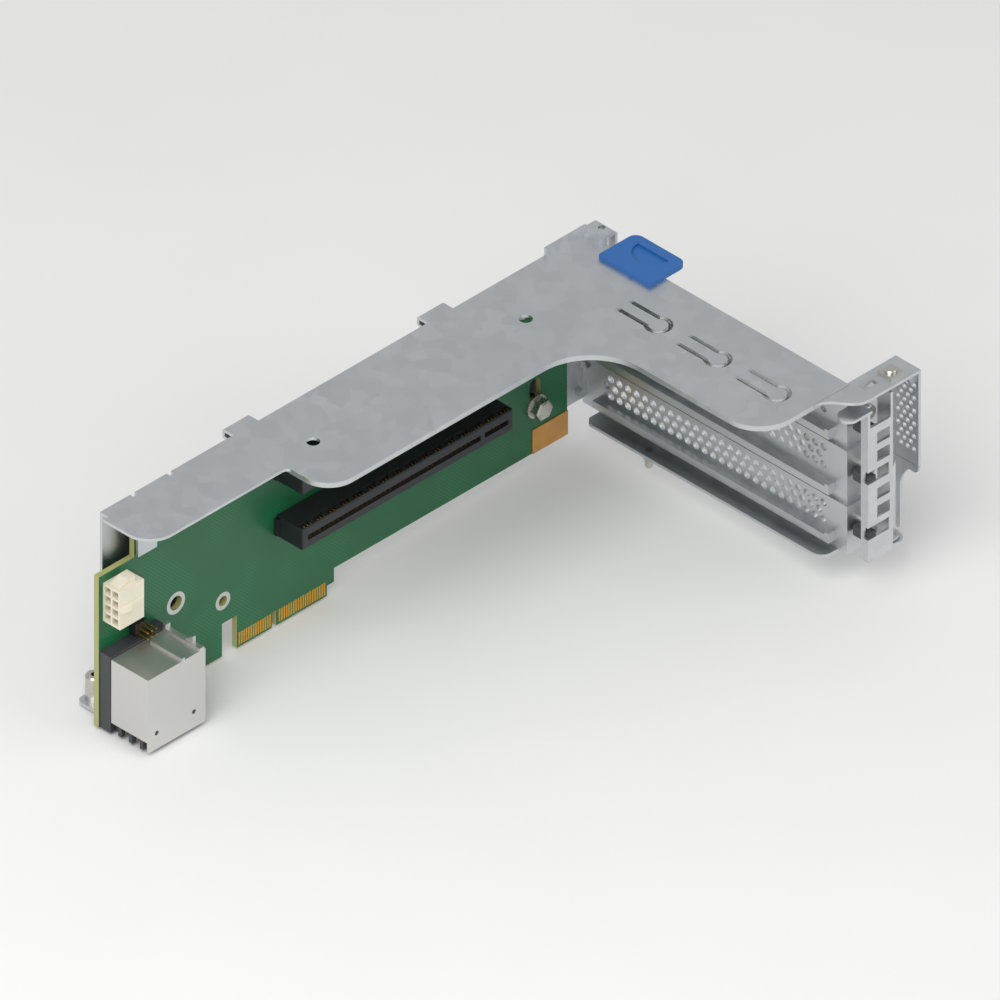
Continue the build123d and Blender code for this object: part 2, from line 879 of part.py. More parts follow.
def rivet_places():
    """Place, out and down, of each rivet through the riveting flange, beside a cross bar."""
    out = arm_reach - bracket_flange / 2
    return [(out, cover_span(number)[1] + rivet_set_down) for number in range(cover_count - 1)]


def end_bracket():
    """Top flange, end wall, riveting flange and gusseted chassis tab, folded from one sheet."""
    bracket = bracket_top() + bracket_wall()
    bracket += block((bracket_end - sheet, bracket_end), (end_wall_out, bracket_out),
                     (0, chassis_tab_drop))
    near = bracket_out - corner_gusset_inset - corner_gusset_width
    corner = bracket_end - sheet
    bracket += standing([(corner - corner_gusset_run, sheet), (corner, sheet),
                         (corner, sheet + corner_gusset_drop)], near, corner_gusset_width)
    bracket += block((cage_length, cage_length + sheet), (arm_reach - bracket_flange, arm_reach),
                     (sheet, panel_drop))
    for out, drop in rivet_places():
        bracket -= lengthwise((cage_length - cut_over, cage_length + sheet + cut_over), out, drop,
                              rivet_radius)
    return bracket


def bracket_rivets():
    """Rivets that hold the riveting flange to the rear panel."""
    rivets = []
    seat = cage_length + sheet
    for out, drop in rivet_places():
        head = lengthwise((seat, seat + sheet), out, drop, rivet_head_radius)
        head = chamfer(head.faces().sort_by(Axis.X)[-1].edges(), rivet_chamfer)
        rivets.append(head + lengthwise((cage_length, seat), out, drop, rivet_radius))
    return rivets


def card_retainer():
    """The hinged column: web, two returns, pockets, holes, ears and a thumb tab."""
    t = retainer_sheet
    start, end = retainer_start, retainer_end
    face = bracket_out
    column = block((start, end), (face - t, face), (retainer_top, retainer_bottom))
    column += block((start, start + t), (face - retainer_return, face),
                    (thumb_drop, retainer_bottom))
    column += block((end - t, end), (face - pivot_return, face), (2 * sheet, retainer_bottom))
    through = (face - t - cut_over, face + cut_over)
    for number in range(cover_count):
        top = pocket_first + number * slot_pitch
        column -= block((start - cut_over if number else start + t, end - pocket_rib),
                        through, (top, top + pocket_height))
        for offset in hole_offsets if number < cover_count - 1 else ():
            low = top + offset
            column -= block((start + hole_start, start + hole_start + hole_width), through,
                            (low, low + hole_height))
    for low in (sheet + fit_gap, retainer_bottom - t):
        ear = block((end - t, pivot_along), (pivot_out - ear_radius, pivot_out + ear_radius),
                    (low, low + t))
        ear += upright(pivot_along, pivot_out, (low, low + t), ear_radius)
        ear -= upright(pivot_along, pivot_out, (low - cut_over, low + t + cut_over),
                       pivot_radius + pivot_clearance)
        column += ear
    thumb_in = thumb_out - thumb_width
    thumb = [(thumb_start, thumb_in), (start + t, thumb_in), (start + t, thumb_out),
             (thumb_start, thumb_out)]
    return column + flat(thumb, [thumb_corner, 0, 0, thumb_corner], thumb_drop, t)


def retainer_pads():
    """Moulded pads inside the column, one behind each cover's tab."""
    pads = []
    near = retainer_start + retainer_sheet + fit_gap
    for number in range(cover_count):
        top, bottom = cover_span(number)
        centre = (top + bottom) / 2 + (top_pad_shift if number == 0 else 0)
        pad = block((near, near + pad_length),
                    (arm_reach + sheet + fit_gap, bracket_out - retainer_sheet),
                    (centre - pad_height / 2, centre + pad_height / 2))
        pads.append(fillet(pad.faces().sort_by(Axis.Y)[-1].edges(), pad_round))
    return pads


def pivot_top():
    """The upper pivot: a round pin with a head on a square pad."""
    pad_top = -pivot_pad_thick
    half = pivot_pad / 2
    pad = block((pivot_along - half, pivot_along + half), (pivot_out - half, pivot_out + half),
                (pad_top, 0))
    head = upright(pivot_along, pivot_out, (pad_top - pivot_head_height, pad_top),
                   pivot_head_radius)
    head = chamfer(head.faces().sort_by(Axis.Z)[-1].edges(), pivot_chamfer)
    low = sheet + fit_gap + retainer_sheet + fit_gap
    return pad + head + upright(pivot_along, pivot_out, (0, low), pivot_radius)


def pivot_foot():
    """The lower pivot: a pin through the ear, with its head underneath."""
    low = retainer_bottom + fit_gap + sheet
    head = upright(pivot_along, pivot_out, (low, low + pivot_head_height), pivot_head_radius)
    head = chamfer(head.faces().sort_by(Axis.Z)[0].edges(), pivot_chamfer)
    high = retainer_bottom - retainer_sheet - fit_gap
    return head + upright(pivot_along, pivot_out, (high, low), pivot_radius)


def handle_tab():
    """The raised touch tab, with a half-moon finger recess."""
    end = handle_start + handle_length
    far = handle_out + handle_width
    points = [(handle_start, handle_out), (end, handle_out), (end, far), (handle_start, far)]
    radii = [handle_corner, handle_radius, handle_radius, handle_corner]
    tab = flat(points, radii, -handle_thick, handle_thick)
    centre = Pos(x_at(end - moon_margin), y_at((handle_out + far) / 2))
    moon = centre * Circle(moon_radius)
    moon &= centre * Pos(-moon_radius, 0) * Rectangle(2 * moon_radius, 3 * moon_radius)
    return tab - Pos(0, 0, z_at(-handle_thick) - moon_depth) * extrude(moon, 2 * moon_depth)


def corner_clip():
    """The folded lug outside the rear corner: a flat with a hole, and a turned-down leg."""
    span = (cage_length, cage_length + lug_reach)
    sides = (lug_start, lug_start + lug_width)
    lug = block(span, sides, (-rim_rise, sheet - rim_rise))
    lug += block((span[1] - sheet, span[1]), sides, (-rim_rise, lug_drop - rim_rise))
    fold = lug.edges().filter_by(Axis.Y).group_by(Axis.X)[-1].sort_by(Axis.Z)[-1]
    lug = fillet(fold, lug_bend_radius)
    lug += block((cage_length, cage_length + sheet), sides, (-rim_rise, lug_drop - rim_rise))
    middle = (span[0] + span[1]) / 2 - lug_hole_set_back
    bore = (-rim_rise - cut_over, sheet - rim_rise + cut_over)
    return lug - upright(middle, lug_start + lug_width / 2, bore, lug_hole_radius)


def guide_post():
    """The round post on the guide foot, bored through."""
    drop = (edge_drop - sheet - post_height, edge_drop - sheet)
    post = upright(post_along, -post_out, drop, post_radius)
    post = chamfer(post.faces().sort_by(Axis.Z)[-1].edges(), post_chamfer)
    bore = (drop[0] - cut_over, drop[1] + cut_over)
    return post - upright(post_along, -post_out, bore, post_bore)


def locating_pin():
    """The pin below the floor lip, its thinner shank pressed into the lip."""
    top, low = panel_drop + floor_pin_undercut, panel_drop + floor_pin_drop
    pin = upright(floor_pin_along, floor_pin_out, (top, low), floor_pin_radius)
    pin = chamfer(pin.faces().sort_by(Axis.Z)[0].edges(), floor_pin_nose)
    return pin + upright(floor_pin_along, floor_pin_out, (panel_drop - sheet, top), floor_pin_shank)


def corner_film():
    """The insulating film over the board's lower rear corner."""
    drop = edge_drop - board_lift
    return block((film_start, board_end), (board_front, board_front + film_thick),
                 (drop - film_rise, drop))


def parts():
    """Each node's name and its solid or solids."""
    made = {
        "cage_frame": cage_frame(),
        "end_bracket": end_bracket(),
        "bracket_rivets": bracket_rivets(),
        "corner_clip": corner_clip(),
        "handle_tab": handle_tab(),
        "riser_board": riser_board(),
        "edge_contacts": edge_contacts(),
        "lower_slot_housing": slot_housing(slot_drop),
        "lower_slot_contacts": slot_contacts(slot_drop),
        "upper_slot_housing": slot_housing(slot_drop - slot_pitch),
        "upper_slot_contacts": slot_contacts(slot_drop - slot_pitch),
        "power_header_housing": power_header_housing(),
        "power_header_pins": power_header_pins(),
        "board_connector_housing": board_connector_housing(),
        "board_connector_shell": board_connector_shell(),
        "board_connector_pins": board_connector_pins(),
        "board_standoffs": board_standoffs(),
        "board_screws": board_screws(),
        "shoulder_screw": shoulder_screw(),
        "cover_screws": cover_screws(),
        "card_retainer": card_retainer(),
        "retainer_pads": retainer_pads(),
        "retainer_pivot_top": pivot_top(),
        "retainer_pivot_foot": pivot_foot(),
        "guide_post": guide_post(),
        "locating_pin": locating_pin(),
        "corner_film": corner_film(),
    }
    for number, name in enumerate(("top", "middle", "bottom")):
        made[f"slot_cover_{name}"] = slot_cover(number)
    return made


os.makedirs("parts", exist_ok=True)
for name, shape in parts().items():
    solids = shape if isinstance(shape, list) else shape.solids()
    print(name, len(solids))
    export_step(solids[0] if len(solids) == 1 else Compound(children=list(solids)),
                f"parts/{name}.step")
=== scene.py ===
# %% [markdown]
# A riser card in its cage
#
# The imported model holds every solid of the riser: the folded steel cage, the circuit board
# with its two slots, the connectors, the slot covers and the hinged card retainer. This script
# gives them their finishes, punches the vents that would be too many holes for the solid
# model, adds the small bent and cut details, and sets up a plain studio view.
#
# The photo is an isometric line drawing without colours. So each finish below is what the
# real part would have, and the camera is an isometric one.

import json
import math

import bmesh
import bpy
from mathutils import Matrix, Vector


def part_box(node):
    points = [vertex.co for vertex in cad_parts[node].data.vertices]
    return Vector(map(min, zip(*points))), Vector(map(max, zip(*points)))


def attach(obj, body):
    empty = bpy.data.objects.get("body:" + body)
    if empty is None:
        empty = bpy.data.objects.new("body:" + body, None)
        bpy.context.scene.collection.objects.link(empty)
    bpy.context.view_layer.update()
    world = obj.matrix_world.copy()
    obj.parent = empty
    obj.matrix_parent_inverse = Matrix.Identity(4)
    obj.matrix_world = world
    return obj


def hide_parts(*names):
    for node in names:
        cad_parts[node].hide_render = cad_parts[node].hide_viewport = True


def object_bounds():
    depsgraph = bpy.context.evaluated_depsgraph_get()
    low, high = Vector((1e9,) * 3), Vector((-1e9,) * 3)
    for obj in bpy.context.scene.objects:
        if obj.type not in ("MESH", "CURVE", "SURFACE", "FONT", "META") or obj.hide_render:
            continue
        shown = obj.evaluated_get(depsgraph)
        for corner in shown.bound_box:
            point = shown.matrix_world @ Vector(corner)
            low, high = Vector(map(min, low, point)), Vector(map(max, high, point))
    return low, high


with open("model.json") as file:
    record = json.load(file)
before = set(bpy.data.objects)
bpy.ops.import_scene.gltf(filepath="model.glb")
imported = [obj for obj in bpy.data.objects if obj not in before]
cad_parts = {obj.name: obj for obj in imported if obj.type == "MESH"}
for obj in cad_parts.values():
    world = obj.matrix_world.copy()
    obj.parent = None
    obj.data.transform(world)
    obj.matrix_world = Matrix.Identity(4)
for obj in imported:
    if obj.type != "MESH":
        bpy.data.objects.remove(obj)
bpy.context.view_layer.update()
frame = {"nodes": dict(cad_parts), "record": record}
MM = 0.001  # named lengths are in millimetres, and this turns them into Blender's metres
QUARTER_TURN = math.pi / 2

# %% [markdown]
# Colours are written the way a swatch book gives them, as hex codes. The render works with
# linear light, so one function turns a code into the numbers that a shader takes. A second
# function adds one node and joins or fills its inputs, so each material and each tree below
# reads as a list of what it is made of.


# %% Colour and node helpers
def colour(code):
    """A hex colour as linear red, green, blue and alpha."""
    channels = [int(code[start:start + 2], 16) / 255 for start in (0, 2, 4)]
    return (*[c / 12.92 if c <= 0.04045 else ((c + 0.055) / 1.055) ** 2.4 for c in channels], 1)


def add_node(tree, kind, inputs=None, **settings):
    """A new node. Each input is a fixed value or the output socket that feeds it."""
    node = tree.nodes.new(kind)
    for name, value in settings.items():
        setattr(node, name, value)
    for key, value in (inputs or {}).items():
        if isinstance(value, bpy.types.NodeSocket):
            tree.links.new(value, node.inputs[key])
        else:
            node.inputs[key].default_value = value
    return node


print("the grey 808080 is", round(colour("808080")[0], 2), "in linear light")

# %% [markdown]
# No real surface is quite even. So a finish here is one shader with plain values, and a
# pattern that moves its colour, its roughness or its height a little. A painted image would
# need every face laid out flat. A pattern needs only the place on the piece, in metres, and so
# it can have a real size and stays put when the piece moves. The shader's own colour and
# roughness lie among the values that the pattern gives, for a program that can't follow it.

# %% Finish helpers
materials = {}


def per_mm(length):
    """The texture scale that gives a pattern of this size in millimetres."""
    return 1 / (length * MM)


def material(name, code, **values):
    """A material with its shader, whose plain values are set on the shader's own inputs."""
    made = bpy.data.materials.new(name)
    made.use_nodes = True
    tree = made.node_tree
    shader = tree.nodes["Principled BSDF"]
    shader.inputs["Base Color"].default_value = colour(code)
    for key, value in values.items():
        shader.inputs[key.replace("_", " ").title()].default_value = value
    materials[name] = made
    place = add_node(tree, "ShaderNodeTexCoord").outputs["Object"]
    return tree, shader, place


def show(tree, shader, pattern, colours=None, spread=None, depth=None):
    """Lets a pattern move the colour, spread the roughness, or raise a grain to a depth in mm."""
    if colours:
        low, high = colour(colours[0]), colour(colours[1])
        mix = add_node(tree, "ShaderNodeMix", {0: pattern, 6: low, 7: high}, data_type="RGBA")
        tree.links.new(mix.outputs[2], shader.inputs["Base Color"])
    if spread:
        rough = add_node(tree, "ShaderNodeMapRange", {
            "Value": pattern, "To Min": spread[0], "To Max": spread[1]})
        tree.links.new(rough.outputs["Result"], shader.inputs["Roughness"])
    if depth:
        bump = add_node(tree, "ShaderNodeBump", {
            "Height": pattern, "Strength": 1.0, "Distance": depth * MM})
        tree.links.new(bump.outputs["Normal"], shader.inputs["Normal"])


def mottled(name, code, lump, detail=2.0, colours=None, spread=None, depth=None, **values):
    """A finish that one soft noise moves. The lump is the noise's size in mm."""
    tree, shader, place = material(name, code, **values)
    noise = add_node(tree, "ShaderNodeTexNoise", {
        "Vector": place, "Scale": per_mm(lump), "Detail": detail})
    show(tree, shader, noise.outputs["Fac"], colours, spread, depth)
    print("made", name)


print("a pattern of 2 mm has the scale", per_mm(2))

# %% [markdown]
# The cage is hot-dip galvanised sheet. Zinc freezes in crystals a few millimetres across,
# the spangle, and each crystal reflects at its own angle. So the eye sees a pale satin grey
# with soft patches, more in the gloss than in the colour. Voronoi cells have the form of such
# crystals, and a random colour for each cell moves its roughness. A wide haze weakens the
# patches here and there. The grain of the zinc itself is under 0.1 mm, and it is drawn at
# 0.5 mm so that it shows.

# %% Galvanised sheet steel
tree, shader, place = material("galvanised_sheet_steel", "D3D5D7", metallic=1.0, roughness=0.4)
spangle = add_node(tree, "ShaderNodeTexVoronoi", {"Vector": place, "Scale": per_mm(4.5)})
shade = add_node(tree, "ShaderNodeRGBToBW", {"Color": spangle.outputs["Color"]}).outputs["Val"]
show(tree, shader, shade, spread=(0.36, 0.48))
haze = add_node(tree, "ShaderNodeTexNoise", {"Vector": place, "Scale": per_mm(30), "Detail": 3.0})
patches = add_node(tree, "ShaderNodeMath", {0: shade, 1: haze.outputs["Fac"]},
                   operation="MULTIPLY")
show(tree, shader, patches.outputs[0], colours=("CBCED1", "DDDFE0"))
grit = add_node(tree, "ShaderNodeTexNoise", {"Vector": place, "Scale": per_mm(0.5)})
show(tree, shader, grit.outputs["Fac"], depth=0.004)
print("made galvanised_sheet_steel")

# %% [markdown]
# Screws, pins and rivets are nickel-plated steel: brighter and slightly warmer than zinc,
# with a tight gloss that turning breaks up a little. The connector's shell is the same metal
# in a matt bath, so it shows a soft sheen and no clear reflections. Gold on the contacts is a
# thin hard plate over nickel, so it is a deep yellow with sharp reflections. Tinned leads are
# a softer, whiter metal. All four differ only in their colour and in how even their gloss is,
# so one noise on the roughness is enough for each.

# %% Plated metals
mottled("nickel_plated_steel", "CBC8C1", 2, detail=4.0, spread=(0.2, 0.34),
        metallic=1.0, roughness=0.24)
mottled("matt_nickel_shell", "D6D5D2", 9, spread=(0.42, 0.52), metallic=1.0, roughness=0.45)
mottled("hard_gold_plate", "E3B04B", 1.5, spread=(0.2, 0.32), metallic=1.0, roughness=0.25)
mottled("tinned_copper", "D2D3D0", 0.8, spread=(0.26, 0.42), metallic=1.0, roughness=0.32)

# %% [markdown]
# The board is woven glass in epoxy under a green solder mask. The mask is a lacquer, darker
# over bare laminate and lighter over copper, so the buried tracks show as faint lighter lines
# that run in bundles. Bands of a wave stand for the tracks, and a wide noise says where a
# bundle runs. The wave's bands lie 0.44 of its size apart. At 2.2 mm that is 1 mm, four times
# as far as real tracks, because finer ones wouldn't show.

# %% Solder mask over copper tracks
tree, shader, place = material("solder_masked_glass_epoxy", "14663D", roughness=0.42,
                               coat_weight=0.15, coat_roughness=0.2)
axes = add_node(tree, "ShaderNodeSeparateXYZ", {"Vector": place})
flat = add_node(tree, "ShaderNodeCombineXYZ", {
    "X": axes.outputs["X"], "Y": axes.outputs["Z"]}).outputs["Vector"]
bundles = add_node(tree, "ShaderNodeTexNoise", {
    "Vector": flat, "Scale": per_mm(22), "Detail": 1.0})
bundle = add_node(tree, "ShaderNodeMapRange", {
    "Value": bundles.outputs["Fac"], "From Min": 0.48, "From Max": 0.56})
bands = add_node(tree, "ShaderNodeTexWave", {
    "Vector": flat, "Scale": per_mm(2.2), "Distortion": 1.6, "Detail": 0.0,
    "Detail Scale": 0.12}, bands_direction="DIAGONAL")
band = add_node(tree, "ShaderNodeMapRange", {
    "Value": bands.outputs["Fac"], "From Min": 0.55, "From Max": 0.75})
tracks = add_node(tree, "ShaderNodeMath", {0: band.outputs[0], 1: bundle.outputs[0]},
                  operation="MULTIPLY")
masked = add_node(tree, "ShaderNodeMix", {
    0: tracks.outputs[0], 6: colour("0E5F38"), 7: colour("156C41")}, data_type="RGBA")
print("made the mask and its tracks")

# %% [markdown]
# The mask lies on the two faces only. A router cuts the board out of a panel, so its edges
# show the pale laminate. A face points along Y, and an edge doesn't, so the direction of the
# surface is enough to tell one from the other.

# %% Cut edges of the board
FACE_LIMIT = 0.7  # how far along Y the surface has to point to count as a face
normal = add_node(tree, "ShaderNodeNewGeometry").outputs["True Normal"]
facing = add_node(tree, "ShaderNodeSeparateXYZ", {"Vector": normal}).outputs["Y"]
either_way = add_node(tree, "ShaderNodeMath", {0: facing}, operation="ABSOLUTE").outputs[0]
is_face = add_node(tree, "ShaderNodeMath", {0: either_way, 1: FACE_LIMIT},
                   operation="GREATER_THAN").outputs[0]
edged = add_node(tree, "ShaderNodeMix", {
    0: is_face, 6: colour("A9A86B"), 7: masked.outputs[2]}, data_type="RGBA")
print("made the cut edges")

# %% [markdown]
# Round each mounting hole the copper is left bare and tinned, so that the screw's head
# grounds the board. The rings are thinner than a hair, so they are a change of finish and
# have no height of their own. The record says where the holes are and how wide, and a face
# that lies within a ring's reach of a hole is bare metal.

# %% Tinned rings round the holes
RING_WIDTH = 1.4
covered = is_face
for mount in frame["record"]["mounts"]:
    if mount["name"].startswith("board_"):
        hole_x, _, hole_z = mount["pos_m"]
        away = add_node(tree, "ShaderNodeVectorMath", {0: flat, 1: (hole_x, hole_z, 0)},
                        operation="DISTANCE").outputs["Value"]
        reach = (mount["dims"]["r_mm"] + RING_WIDTH) * MM
        outside = add_node(tree, "ShaderNodeMath", {0: away, 1: reach},
                           operation="GREATER_THAN").outputs[0]
        covered = add_node(tree, "ShaderNodeMath", {0: covered, 1: outside},
                           operation="MULTIPLY").outputs[0]
        print("ring round", mount["name"], "reaches", round(reach / MM, 2), "mm")
bare = add_node(tree, "ShaderNodeMath", {0: is_face, 1: covered}, operation="SUBTRACT")
ringed = add_node(tree, "ShaderNodeMix", {
    0: bare.outputs[0], 6: edged.outputs[2], 7: colour("D2D3D0")}, data_type="RGBA")
tree.links.new(ringed.outputs[2], shader.inputs["Base Color"])
tree.links.new(bare.outputs[0], shader.inputs["Metallic"])

# %% [markdown]
# The mouldings each have their own resin. The slots are black glass-filled nylon. The power
# header is natural nylon, a milky off-white that lets some light in, so its shader scatters
# light under the surface. The touch tab is the blue that marks a place for the hand. The pads
# inside the retainer are a dull black rubber, and the film on the board's corner is amber
# polyimide, glossy and slightly rippled. Moulds are spark-eroded, which leaves pits of less
# than 0.1 mm in what they shape. The pits are drawn at 0.35 to 0.6 mm so that they show.

# %% Plastics, rubber and film
mottled("black_glass_filled_nylon", "25272A", 0.35, spread=(0.42, 0.56), depth=0.01,
        roughness=0.48)
mottled("natural_nylon", "E6DFC9", 6, colours=("E0D8BF", "EBE5D3"), roughness=0.42,
        subsurface_weight=0.15, subsurface_scale=1.5 * MM)
mottled("blue_touch_plastic", "2464A8", 0.4, spread=(0.38, 0.5), depth=0.012, roughness=0.42)
mottled("black_elastomer", "454749", 0.6, spread=(0.68, 0.85), roughness=0.75)
mottled("amber_polyimide_film", "C98A2E", 5, colours=("BC7C24", "D59A3C"), depth=0.02,
        roughness=0.2, coat_weight=0.5, coat_roughness=0.08)

# %% [markdown]
# The large connector is a dark grey liquid-crystal polymer. Its long molecules line up as the
# melt runs into the mould, which leaves faint streaks. A noise that is drawn out along Z, the
# way the mould fills, gives the same streaks in the colour and in the gloss.

# %% Liquid-crystal polymer
DRAWN_OUT = 0.15  # the noise's scale along Z, as a share of its scale across
tree, shader, place = material("grey_liquid_crystal_polymer", "3A3C40", roughness=0.5)
long_way = add_node(tree, "ShaderNodeMapping", {"Vector": place, "Scale": (1, 1, DRAWN_OUT)})
flow = add_node(tree, "ShaderNodeTexNoise", {
    "Vector": long_way.outputs[0], "Scale": per_mm(1.5), "Detail": 3.0})
show(tree, shader, flow.outputs["Fac"], colours=("323438", "45474B"), spread=(0.44, 0.58))
print("materials:", len(materials))

# %% [markdown]
# Each solid of the model keeps its shape and only takes its finish. The record gives every
# node a material slot, and this table gives each slot its material. One node departs from its
# slot: the connector's shell is nickel too, but matt.

# %% Give every node its finish
SLOT_FINISH = {
    "galvanised_steel": "galvanised_sheet_steel",
    "plated_steel": "nickel_plated_steel",
    "board_green": "solder_masked_glass_epoxy",
    "contact_gold": "hard_gold_plate",
    "slot_black": "black_glass_filled_nylon",
    "header_natural": "natural_nylon",
    "connector_grey": "grey_liquid_crystal_polymer",
    "touch_blue": "blue_touch_plastic",
    "pad_black": "black_elastomer",
    "film_amber": "amber_polyimide_film",
}
NODE_FINISH = {"board_connector_shell": "matt_nickel_shell"}
slot_of = {part["node"]: part["material_slot"] for part in frame["record"]["subparts"]}
for name, node in frame["nodes"].items():
    finish = NODE_FINISH.get(name, SLOT_FINISH[slot_of[name]])
    for holder in node.material_slots:
        holder.material = materials[finish]
print("finished", len(slot_of), "nodes")

# %% [markdown]
# Vents, contacts and pins repeat, so each is made once and placed by Geometry Nodes. A tree is
# a recipe with named inputs for its sizes, and every tree here starts and ends alike. It takes
# a mesh in, and it ends by making its copies real and giving them one finish. A row is known
# by its count and its pitch, and a grid wants its length, so one more function works that out.


# %% Tree helpers
def start_tree(name, inputs):
    """A geometry tree with a mesh going in and out, its named inputs and its finish."""
    tree = bpy.data.node_groups.new(name, "GeometryNodeTree")
    ports = tree.interface
    ports.new_socket("Geometry", in_out="INPUT", socket_type="NodeSocketGeometry")
    for label, kind in {**inputs, "Finish": "Material"}.items():
        ports.new_socket(label, in_out="INPUT", socket_type="NodeSocket" + kind)
    ports.new_socket("Geometry", in_out="OUTPUT", socket_type="NodeSocketGeometry")
    return tree, tree.nodes.new("NodeGroupInput").outputs


def end_tree(tree, geometry, finish):
    """Ends a tree with real geometry in one finish, and says what the tree takes."""
    real = add_node(tree, "GeometryNodeRealizeInstances", {"Geometry": geometry})
    painted = add_node(tree, "GeometryNodeSetMaterial", {
        "Geometry": real.outputs["Geometry"], "Material": finish})
    add_node(tree, "NodeGroupOutput", {"Geometry": painted.outputs["Geometry"]})
    print(tree.name, "takes", [port.name for port in tree.interface.items_tree
                               if port.in_out == "INPUT"])


def row_length(tree, count, pitch):
    """The distance from the first point of a row to its last."""
    gaps = add_node(tree, "ShaderNodeMath", {0: count, 1: 1.0}, operation="SUBTRACT")
    return add_node(tree, "ShaderNodeMath", {0: gaps.outputs[0], 1: pitch},
                    operation="MULTIPLY").outputs[0]


print("the helpers start and end a tree, and measure a row")

# %% [markdown]
# The drawing hatches the slot covers and the chassis tab. On the real part that tone is a
# field of vent holes, punched in staggered rows so that air passes and the sheet stays
# stiff. Holes in the solid model would cost thousands of faces, so they are punched here. The
# tree lays out the rows, moves every other one by half a pitch, puts a punch at each point,
# stands the field up to face along X, and cuts the sheet with all the punches at once. The
# exact solver is slower than the quick one, which leaves out some of the holes.

# %% The vents' tree
PUNCH_SIDES, PUNCH_LENGTH = 14, 4.0
STAGGER = math.sqrt(0.75)  # of the pitch, from row to row, so that all neighbours are alike
vents, sockets = start_tree("punch_vents", {
    "Columns": "Int", "Rows": "Int", "Pitch": "Float", "Radius": "Float", "Middle": "Vector"})
row_pitch = add_node(vents, "ShaderNodeMath", {0: sockets["Pitch"], 1: STAGGER},
                     operation="MULTIPLY")
points = add_node(vents, "GeometryNodeMeshGrid", {
    "Vertices X": sockets["Columns"], "Vertices Y": sockets["Rows"],
    "Size X": row_length(vents, sockets["Columns"], sockets["Pitch"]),
    "Size Y": row_length(vents, sockets["Rows"], row_pitch.outputs[0])})
index = add_node(vents, "GeometryNodeInputIndex").outputs["Index"]
in_row = add_node(vents, "ShaderNodeMath", {0: index, 1: sockets["Rows"]}, operation="MODULO")
odd = add_node(vents, "ShaderNodeMath", {0: in_row.outputs[0], 1: 2.0}, operation="MODULO")
whole = add_node(vents, "ShaderNodeMath", {0: odd.outputs[0], 1: sockets["Pitch"]},
                 operation="MULTIPLY")
half = add_node(vents, "ShaderNodeMath", {0: whole.outputs[0], 1: 0.5}, operation="MULTIPLY")
offset = add_node(vents, "ShaderNodeCombineXYZ", {"X": half.outputs[0]})
staggered = add_node(vents, "GeometryNodeSetPosition", {
    "Geometry": points.outputs["Mesh"], "Offset": offset.outputs[0]})
punch = add_node(vents, "GeometryNodeMeshCylinder", {
    "Vertices": PUNCH_SIDES, "Radius": sockets["Radius"], "Depth": PUNCH_LENGTH * MM})
placed = add_node(vents, "GeometryNodeInstanceOnPoints", {
    "Points": staggered.outputs["Geometry"], "Instance": punch.outputs["Mesh"]})
punches = add_node(vents, "GeometryNodeRealizeInstances", {"Geometry": placed.outputs[0]})
turned = add_node(vents, "GeometryNodeTransform", {
    "Geometry": punches.outputs["Geometry"], "Translation": sockets["Middle"],
    "Rotation": (QUARTER_TURN, 0, QUARTER_TURN)})
cut = add_node(vents, "GeometryNodeMeshBoolean", {
    "Mesh 1": sockets["Geometry"], "Mesh 2": turned.outputs["Geometry"]},
    operation="DIFFERENCE", solver="EXACT")
end_tree(vents, cut.outputs["Mesh"], sockets["Finish"])

# %% [markdown]
# A tree only runs inside a modifier. So a piece starts as an object with the tree on it, the
# result is kept as a plain mesh, and the modifier goes, because the exported model needs the
# mesh alone. The cage never moves, so every piece here rides on it.


# %% Piece helpers
def set_down(name, data):
    """A new object in the scene, at the origin."""
    made = bpy.data.objects.new(name, data)
    bpy.context.collection.objects.link(made)
    return made


def as_mesh(work):
    """The plain mesh that an object and its modifiers make together."""
    bpy.context.view_layer.update()
    seen = work.evaluated_get(bpy.context.evaluated_depsgraph_get())
    return bpy.data.meshes.new_from_object(seen)


def fit(piece):
    """Makes a finished piece a part of the cage, and says how many faces it has."""
    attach(piece, "cage")
    print(piece.name, "has", len(piece.data.polygons), "faces")
    return piece


def grow(name, tree, values, slot, start=None, finish=None):
    """Runs a tree on a mesh, or on none, and fits the result in its slot's usual finish."""
    piece = set_down(name, start or bpy.data.meshes.new(name))
    modifier = piece.modifiers.new(tree.name, "NODES")
    modifier.node_group = tree
    values = {**values, "Finish": materials[finish or SLOT_FINISH[slot]]}
    for port in tree.interface.items_tree:
        if port.in_out == "INPUT" and port.name in values:
            modifier[port.identifier] = values[port.name]
    piece.update_tag()
    mesh = as_mesh(piece)
    mesh.name = name
    piece.modifiers.remove(modifier)
    piece.data = mesh
    return fit(piece)


print("the helpers keep what a tree makes, and fit it to the cage")

# %% [markdown]
# A slot cover closes the opening behind an empty slot, and its vents let air past. The sheet
# stands a little behind the cover's end tab, so the vents are measured from that tab. They
# stay clear of the turned lip along the cover's lower edge. A solid's mesh is loose triangles,
# and a cut needs them joined, so the tree cuts a copy whose corners are welded.

# %% Vented slot covers
COVER_LEVELS = ("top", "middle", "bottom")
COVER_SET_BACK = 9.9  # from the end of a cover's tab to its sheet
VENT_RISE = 2.3  # from the cover's middle up to the field's
WELD_REACH = 0.002


def whole_copy(node):
    """A copy of a node's mesh with its corners joined, so that it can be cut."""
    work = set_down(node + "_copy", frame["nodes"][node].data.copy())
    work.modifiers.new("weld", "WELD").merge_threshold = WELD_REACH * MM
    joined = as_mesh(work)
    bpy.data.objects.remove(work)
    for polygon in joined.polygons:
        polygon.use_smooth = False
    return joined


